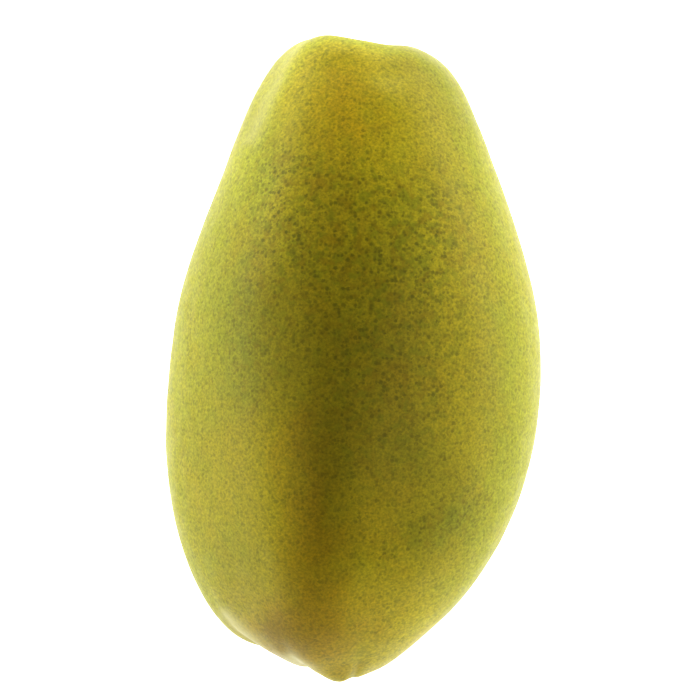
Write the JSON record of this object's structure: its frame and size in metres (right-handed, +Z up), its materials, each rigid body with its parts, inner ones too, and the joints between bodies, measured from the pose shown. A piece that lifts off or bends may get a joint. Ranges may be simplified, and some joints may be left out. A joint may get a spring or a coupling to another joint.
{
  "type": "papaya",
  "caption": "Whole ripening pear-shaped papaya with blunt ridges, a small stem hollow and a creased blossom end, lying on its side on a small flat spot.",
  "frame": {"origin": "on the surface that the fruit lies on, under the middle of its bounding box", "axes": "+Z up, +Y along the fruit towards its stem end, -Y towards its blossom end, +X to the right as seen from above with the stem end away from the viewer"},
  "size_m": [0.0904, 0.155, 0.0866],
  "materials": {
    "skin": "satin"
  },
  "bodies": {
    "root": {"papaya": "skin"}
  },
  "joints": []
}
